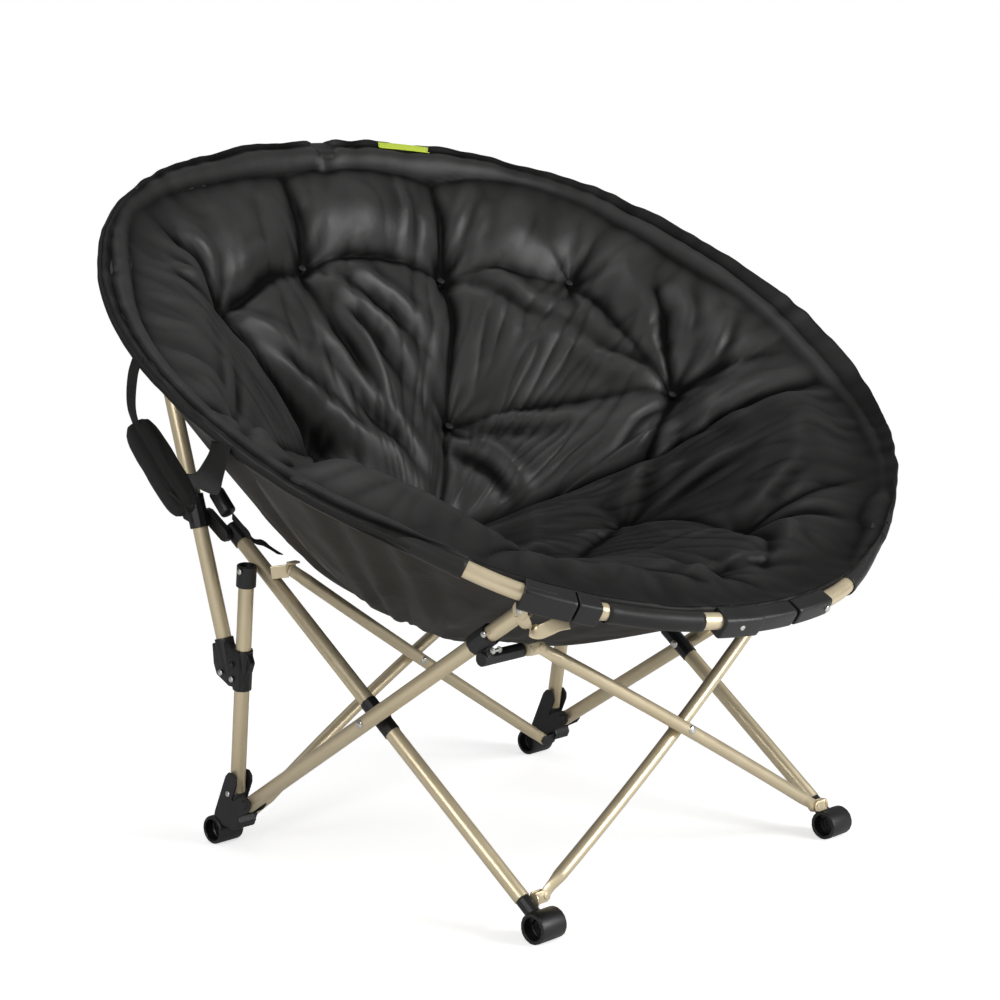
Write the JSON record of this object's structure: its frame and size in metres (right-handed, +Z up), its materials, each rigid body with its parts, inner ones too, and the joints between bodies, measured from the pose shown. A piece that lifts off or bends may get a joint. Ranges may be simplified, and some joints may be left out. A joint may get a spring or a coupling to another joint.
{
  "type": "folding saucer chair",
  "caption": "Folding saucer chair with a tufted padded seat in an oval rim, on a scissor frame of round tubes that closes to a bundle.",
  "frame": {"origin": "on the floor under the middle of the saucer's rim, which is the middle of the chair's plan", "axes": "+Z up, the chair faces -Y, and its left and right sides mirror each other across X = 0"},
  "size_m": [1.124, 0.8304, 0.878],
  "materials": {
    "frame": "satin champagne gold paint",
    "zinc": "zinc-plated rivets",
    "plastic": "fine-grained black plastic",
    "cloth": "coated woven polyester, charcoal",
    "cushion": "soft satin polyester, black, padded"
  },
  "bodies": {
    "rear_foot_left": {"rear_foot_left": "plastic", "rear_bracket_left": "plastic"},
    "outer_leg_left": {"outer_leg_left": "frame", "side_rivet_left": "zinc", "brace_clamp_left": "plastic", "rim_fitting_left": "plastic"},
    "inner_leg_left": {"inner_leg_left": "frame", "leg_sleeve_left": "plastic", "inner_leg_cap_left": "plastic", "front_foot_left": "plastic"},
    "rear_post_left": {"lower_post_left": "frame", "upper_post_left": "frame", "post_block_left": "plastic", "post_cap_left": "plastic", "rear_top_clevis_left": "frame", "post_collar_left": "plastic", "rear_rim_bracket_left": "plastic"},
    "front_clevis_left": {"front_clevis_left": "frame"},
    "front_top_clevis_left": {"front_top_clevis_left": "frame"},
    "rim_cover_left": {"rim_cover_left": "plastic"},
    "rim_front_left": {"rim_front_left": "frame", "front_hinge_left": "plastic"},
    "rim_side_front_left": {"rim_side_front_left": "frame"},
    "rim_side_rear_left": {"rim_side_rear_left": "frame"},
    "rim_rear_left": {"rim_rear_left": "frame"},
    "front_brace_from_left": {"front_brace_from_left": "frame", "front_brace_rivet": "zinc"},
    "front_brace_from_right": {"front_brace_from_right": "frame"},
    "rear_brace_from_left": {"rear_brace_from_left": "frame", "rear_brace_rivet": "zinc"},
    "rear_brace_from_right": {"rear_brace_from_right": "frame"},
    "rear_foot_right": {"rear_foot_right": "plastic", "rear_bracket_right": "plastic"},
    "outer_leg_right": {"outer_leg_right": "frame", "side_rivet_right": "zinc", "brace_clamp_right": "plastic", "rim_fitting_right": "plastic"},
    "inner_leg_right": {"inner_leg_right": "frame", "leg_sleeve_right": "plastic", "inner_leg_cap_right": "plastic", "front_foot_right": "plastic"},
    "rear_post_right": {"lower_post_right": "frame", "upper_post_right": "frame", "post_block_right": "plastic", "post_cap_right": "plastic", "rear_top_clevis_right": "frame", "post_collar_right": "plastic", "rear_rim_bracket_right": "plastic"},
    "front_clevis_right": {"front_clevis_right": "frame"},
    "front_top_clevis_right": {"front_top_clevis_right": "frame"},
    "rim_cover_right": {"rim_cover_right": "plastic"},
    "rim_front_right": {"rim_front_right": "frame", "front_hinge_right": "plastic"},
    "rim_side_front_right": {"rim_side_front_right": "frame"},
    "rim_side_rear_right": {"rim_side_rear_right": "frame"},
    "rim_rear_right": {"rim_rear_right": "frame"},
    "saucer": {"cushion": "cushion", "outer_bowl": "cloth", "pouch_left": "cloth", "side_strap_left": "cloth"}
  },
  "joints": [
    {"name": "fold", "type": "hinge", "parent": "rear_foot_left", "child": "outer_leg_left", "pos_m": [-0.289, 0.1966, 0.0626], "axis": [-1, 0, 0], "range_deg": [0, 43], "deforming": ["cushion", "outer_bowl", "pouch_left", "side_strap_left"]},
    {"name": "side_scissor_left", "type": "hinge", "parent": "outer_leg_left", "child": "inner_leg_left", "pos_m": [-0.2967, -0.01756, 0.20711], "axis": [1, 0, 0], "range_deg": [0, 86]},
    {"name": "post_pivot_left", "type": "hinge", "parent": "inner_leg_left", "child": "rear_post_left", "pos_m": [-0.2743, 0.2369, 0.3946], "axis": [-1, 0, 0], "range_deg": [0, 43]},
    {"name": "front_clevis_tilt_left", "type": "hinge", "parent": "inner_leg_left", "child": "front_clevis_left", "pos_m": [-0.268, -0.25088, 0.03516], "axis": [-1, 0, 0], "range_deg": [0, 34.1]},
    {"name": "front_top_clevis_tilt_left", "type": "hinge", "parent": "outer_leg_left", "child": "front_top_clevis_left", "pos_m": [-0.246, -0.2204, 0.3202], "axis": [1, 0, 0], "range_deg": [0, 51.9]},
    {"name": "rim_cover_turn_left", "type": "hinge", "parent": "outer_leg_left", "child": "rim_cover_left", "pos_m": [-0.306, -0.276, 0.3815], "axis": [1, 0, 0], "range_deg": [0, 88]},
    {"name": "rim_front_fold_left", "type": "hinge", "parent": "rim_cover_left", "child": "rim_front_left", "pos_m": [-0.29284, -0.33147, 0.39596], "axis": [0.0128, 0.533, -0.846], "range_deg": [0, 42.49]},
    {"name": "rim_side_rear_fold_left", "type": "hinge", "parent": "rear_post_left", "child": "rim_side_rear_left", "pos_m": [-0.33786, 0.33551, 0.81307], "axis": [0.4873, -0.6987, -0.5238], "range_deg": [0, 45.98]},
    {"name": "rim_rear_fold_left", "type": "hinge", "parent": "rear_post_left", "child": "rim_rear_left", "pos_m": [-0.30587, 0.34928, 0.82215], "axis": [-0.4132, 0.8731, 0.2589], "range_deg": [0, 90.54]},
    {"name": "rim_side_front_fold_left", "type": "hinge", "parent": "outer_leg_left", "child": "rim_side_front_left", "pos_m": [-0.32285, -0.31445, 0.40621], "axis": [-0.568, -0.7838, -0.2509], "range_deg": [0, 80.63]},
    {"name": "fold_right", "type": "hinge", "parent": "rear_foot_right", "child": "outer_leg_right", "pos_m": [0.289, 0.1966, 0.0626], "axis": [-1, 0, 0], "range_deg": [0, 43]},
    {"name": "side_scissor_right", "type": "hinge", "parent": "outer_leg_right", "child": "inner_leg_right", "pos_m": [0.2967, -0.01756, 0.20711], "axis": [1, 0, 0], "range_deg": [0, 86]},
    {"name": "post_pivot_right", "type": "hinge", "parent": "inner_leg_right", "child": "rear_post_right", "pos_m": [0.2743, 0.2369, 0.3946], "axis": [-1, 0, 0], "range_deg": [0, 43]},
    {"name": "front_clevis_tilt_right", "type": "hinge", "parent": "inner_leg_right", "child": "front_clevis_right", "pos_m": [0.268, -0.25088, 0.03516], "axis": [-1, 0, 0], "range_deg": [0, 34.1]},
    {"name": "front_top_clevis_tilt_right", "type": "hinge", "parent": "outer_leg_right", "child": "front_top_clevis_right", "pos_m": [0.246, -0.2204, 0.3202], "axis": [1, 0, 0], "range_deg": [0, 51.9]},
    {"name": "rim_cover_turn_right", "type": "hinge", "parent": "outer_leg_right", "child": "rim_cover_right", "pos_m": [0.306, -0.276, 0.3815], "axis": [1, 0, 0], "range_deg": [0, 88]},
    {"name": "rim_front_fold_right", "type": "hinge", "parent": "rim_cover_right", "child": "rim_front_right", "pos_m": [0.29284, -0.33147, 0.39596], "axis": [0.0128, -0.533, 0.846], "range_deg": [0, 42.49]},
    {"name": "rim_side_rear_fold_right", "type": "hinge", "parent": "rear_post_right", "child": "rim_side_rear_right", "pos_m": [0.33786, 0.33551, 0.81307], "axis": [0.4873, 0.6987, 0.5238], "range_deg": [0, 45.98]},
    {"name": "rim_rear_fold_right", "type": "hinge", "parent": "rear_post_right", "child": "rim_rear_right", "pos_m": [0.30587, 0.34928, 0.82215], "axis": [-0.4132, -0.8731, -0.2589], "range_deg": [0, 90.54]},
    {"name": "rim_side_front_fold_right", "type": "hinge", "parent": "outer_leg_right", "child": "rim_side_front_right", "pos_m": [0.32285, -0.31445, 0.40621], "axis": [-0.568, 0.7838, 0.2509], "range_deg": [0, 80.63]},
    {"name": "front_brace_swing", "type": "hinge", "parent": "front_clevis_left", "child": "front_brace_from_left", "pos_m": [-0.242, -0.25108, 0.04082], "axis": [0, -0.9903, 0.1392], "range_deg": [0, 37]},
    {"name": "front_brace_scissor", "type": "hinge", "parent": "front_brace_from_left", "child": "front_brace_from_right", "pos_m": [0, -0.24828, 0.1865], "axis": [0, 0.9903, -0.1392], "range_deg": [0, 74]},
    {"name": "rear_brace_swing", "type": "hinge", "parent": "rear_foot_left", "child": "rear_brace_from_left", "pos_m": [-0.2605, 0.23297, 0.03386], "axis": [0, -0.9851, -0.172], "range_deg": [0, 33.4]},
    {"name": "rear_brace_scissor", "type": "hinge", "parent": "rear_brace_from_left", "child": "rear_brace_from_right", "pos_m": [0, 0.20372, 0.19753], "axis": [0, 0.9851, 0.172], "range_deg": [0, 66.8]},
    {"name": "rear_foot_turn_right", "type": "hinge", "parent": "rear_brace_from_right", "child": "rear_foot_right", "pos_m": [0.2605, 0.21623, 0.03094], "axis": [0, -0.9851, -0.172], "range_deg": [0, 33.4]},
    {"name": "saucer_tip", "type": "hinge", "parent": "rear_post_left", "child": "saucer", "pos_m": [0, 0.338, 0.817], "axis": [1, 0, 0], "range_deg": [0, 24], "deforming": ["cushion", "outer_bowl", "pouch_left", "side_strap_left"]}
  ],
  "couplings": [
    {"joint": "side_scissor_left", "follows": "fold", "ratio": 2},
    {"joint": "post_pivot_left", "follows": "fold", "ratio": 1},
    {"joint": "front_clevis_tilt_left", "follows": "fold", "ratio": 0.79302},
    {"joint": "front_top_clevis_tilt_left", "follows": "fold", "ratio": 1.207},
    {"joint": "rim_cover_turn_left", "follows": "fold", "ratio": 2.0465},
    {"joint": "rim_front_fold_left", "follows": "fold", "ratio": 0.98805},
    {"joint": "rim_side_rear_fold_left", "follows": "fold", "ratio": 1.0692},
    {"joint": "rim_rear_fold_left", "follows": "fold", "ratio": 2.1055},
    {"joint": "rim_side_front_fold_left", "follows": "fold", "ratio": 1.8751},
    {"joint": "fold_right", "follows": "fold", "ratio": 1},
    {"joint": "side_scissor_right", "follows": "fold", "ratio": 2},
    {"joint": "post_pivot_right", "follows": "fold", "ratio": 1},
    {"joint": "front_clevis_tilt_right", "follows": "fold", "ratio": 0.79302},
    {"joint": "front_top_clevis_tilt_right", "follows": "fold", "ratio": 1.207},
    {"joint": "rim_cover_turn_right", "follows": "fold", "ratio": 2.0465},
    {"joint": "rim_front_fold_right", "follows": "fold", "ratio": 0.98805},
    {"joint": "rim_side_rear_fold_right", "follows": "fold", "ratio": 1.0692},
    {"joint": "rim_rear_fold_right", "follows": "fold", "ratio": 2.1055},
    {"joint": "rim_side_front_fold_right", "follows": "fold", "ratio": 1.8751},
    {"joint": "front_brace_swing", "follows": "fold", "ratio": 0.86046},
    {"joint": "front_brace_scissor", "follows": "fold", "ratio": 1.7209},
    {"joint": "rear_brace_swing", "follows": "fold", "ratio": 0.77674},
    {"joint": "rear_brace_scissor", "follows": "fold", "ratio": 1.5535},
    {"joint": "rear_foot_turn_right", "follows": "fold", "ratio": 0.77674},
    {"joint": "saucer_tip", "follows": "fold", "ratio": 0.55814}
  ]
}
